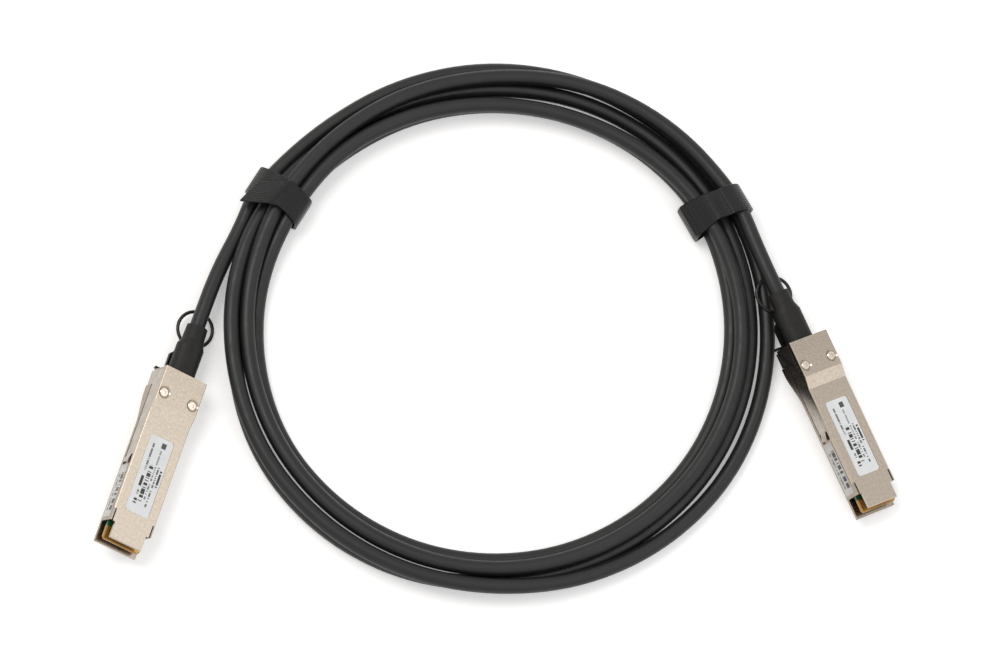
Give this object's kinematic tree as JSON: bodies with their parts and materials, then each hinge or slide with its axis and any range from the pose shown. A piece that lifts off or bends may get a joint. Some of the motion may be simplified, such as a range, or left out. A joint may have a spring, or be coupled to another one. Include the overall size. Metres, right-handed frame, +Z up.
{
  "type": "direct attach copper cable",
  "caption": "Coiled and strapped copper cable with a pluggable metal module, sliding latch and pull ring at each end.",
  "frame": {"origin": "centre of the two modules on the surface that the cable lies on", "axes": "+X from the left module to the right one, +Y towards the strapped side of the coil, +Z up"},
  "size_m": [0.3096, 0.214, 0.0205],
  "materials": {
    "plated_zinc": "nickel-plated die casting, satin",
    "screw_steel": "nickel-plated steel",
    "circuit_board": "green solder mask",
    "gold_contacts": "hard gold plating",
    "chip_resin": "moulded epoxy",
    "pair_foil": "foil shield",
    "ferrule_brass": "tinned brass",
    "boot_rubber": "matt moulded",
    "spring_steel": "rolled stainless spring steel",
    "ring_nylon": "moulded, satin",
    "label_film": "white film",
    "cable_jacket": "extruded PVC, satin",
    "strap_fabric": "woven hook-and-loop tape"
  },
  "bodies": {
    "root": {"housing_body_a": "plated_zinc", "housing_cover_a": "plated_zinc", "cover_screws_a": "screw_steel", "paddle_card_a": "circuit_board", "contact_fingers_a": "gold_contacts", "memory_chip_a": "chip_resin", "wire_pairs_a": "pair_foil", "crimp_ferrule_a": "ferrule_brass", "cable_boot_a": "boot_rubber", "return_springs_a": "spring_steel", "cover_label_a": "label_film", "side_label_a": "label_film", "housing_body_b": "plated_zinc", "housing_cover_b": "plated_zinc", "cover_screws_b": "screw_steel", "paddle_card_b": "circuit_board", "contact_fingers_b": "gold_contacts", "memory_chip_b": "chip_resin", "wire_pairs_b": "pair_foil", "crimp_ferrule_b": "ferrule_brass", "cable_boot_b": "boot_rubber", "return_springs_b": "spring_steel", "cover_label_b": "label_film", "side_label_b": "label_film", "cable_coil": "cable_jacket", "cable_lead_a": "cable_jacket", "cable_lead_b": "cable_jacket", "strap_left": "strap_fabric", "strap_right": "strap_fabric"},
    "latch_a": {"latch_slide_a": "spring_steel", "pull_ring_a": "ring_nylon"},
    "latch_b": {"latch_slide_b": "spring_steel", "pull_ring_b": "ring_nylon"}
  },
  "joints": [
    {"name": "latch_a_slide", "type": "slide", "parent": "root", "child": "latch_a", "axis": [0.3105, 0.9499, -0.0349], "range_m": [0, 0.003], "stiffness_N_per_m": 300, "deforming": ["return_springs_a"]},
    {"name": "latch_b_slide", "type": "slide", "parent": "root", "child": "latch_b", "axis": [-0.4203, 0.9054, 0.061], "range_m": [0, 0.003], "stiffness_N_per_m": 300, "deforming": ["return_springs_b"]}
  ]
}
